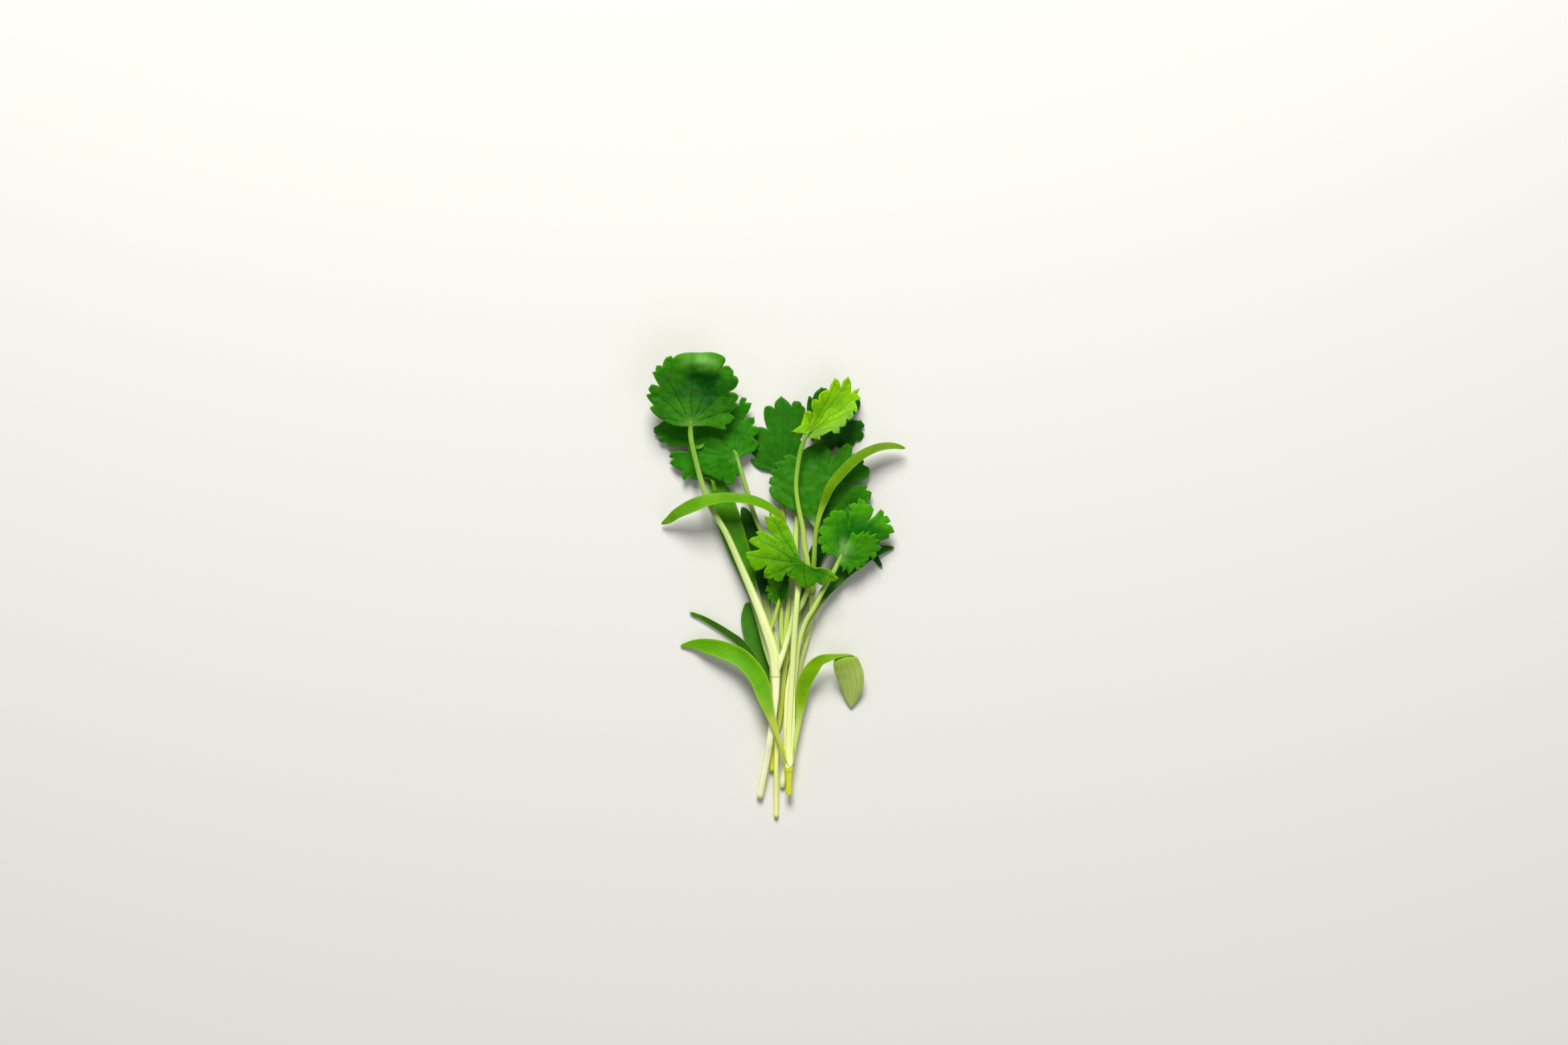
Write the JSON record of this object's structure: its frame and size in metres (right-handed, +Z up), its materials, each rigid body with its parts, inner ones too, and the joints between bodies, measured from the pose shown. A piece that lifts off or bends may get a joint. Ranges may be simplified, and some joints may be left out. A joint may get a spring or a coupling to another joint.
{
  "type": "coriander bunch",
  "caption": "Loose bunch of fresh young coriander with cut stems, strap seed leaves and toothed, lobed leaves, lying flat.",
  "frame": {"origin": "on the surface, under the middle of the bunch's bounding box", "axes": "+Y from the cut stem ends to the leaf tips, +X to the right as seen from above, +Z up from the surface"},
  "size_m": [0.0506, 0.0908, 0.0076],
  "materials": {
    "true_leaf": "matt green blade of the toothed leaves, with fine darker veins",
    "young_leaf": "yellower green blade of the youngest toothed leaves",
    "seed_leaf": "smooth, slightly fleshy strap leaf with a paler underside",
    "stem": "pale, moist, finely ribbed stem and petiole"
  },
  "bodies": {
    "root": {"seedling_left": "true_leaf", "seedling_right": "true_leaf", "seedling_front": "true_leaf", "seedling_low": "true_leaf", "seedling_small": "true_leaf"}
  },
  "joints": []
}
